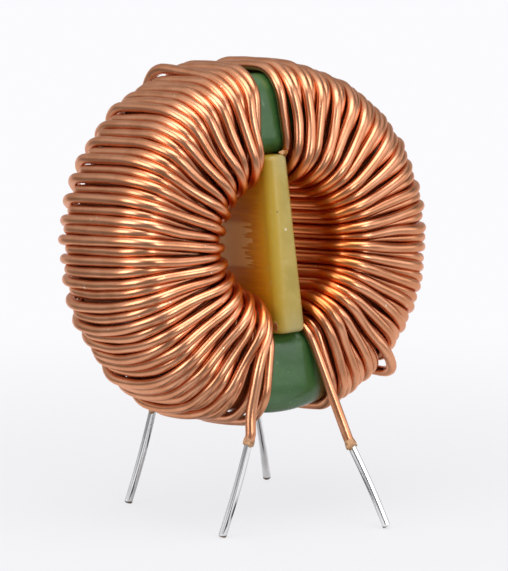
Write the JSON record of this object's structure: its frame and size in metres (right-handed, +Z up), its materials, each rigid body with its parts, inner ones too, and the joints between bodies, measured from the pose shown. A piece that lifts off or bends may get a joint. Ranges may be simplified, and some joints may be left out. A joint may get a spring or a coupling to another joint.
{
  "type": "toroidal inductor",
  "caption": "Upright ring choke: enamelled copper windings on a green coated ring core, kept apart by a divider across its bore, standing on splayed tinned leads.",
  "frame": {"origin": "the point on the board plane straight below the centre of the ring", "axes": "+Z up off the board; -Y is the front face of the ring, whose axis runs along Y and tips up by the lean; +X to the right of the front"},
  "size_m": [0.0415, 0.0292, 0.0508],
  "materials": {
    "core_coating": "glossy epoxy powder coat",
    "divider_resin": "satin, slightly translucent cured resin",
    "enamelled_copper": "clear enamel over bright copper",
    "tinned_copper": "dip-soldered tin"
  },
  "bodies": {
    "root": {"core": "core_coating", "divider": "divider_resin", "winding_left": "enamelled_copper", "winding_right": "enamelled_copper", "tinned_end_front_left": "tinned_copper", "tinned_end_back_left": "tinned_copper", "tinned_end_front_right": "tinned_copper", "tinned_end_back_right": "tinned_copper"}
  },
  "joints": []
}
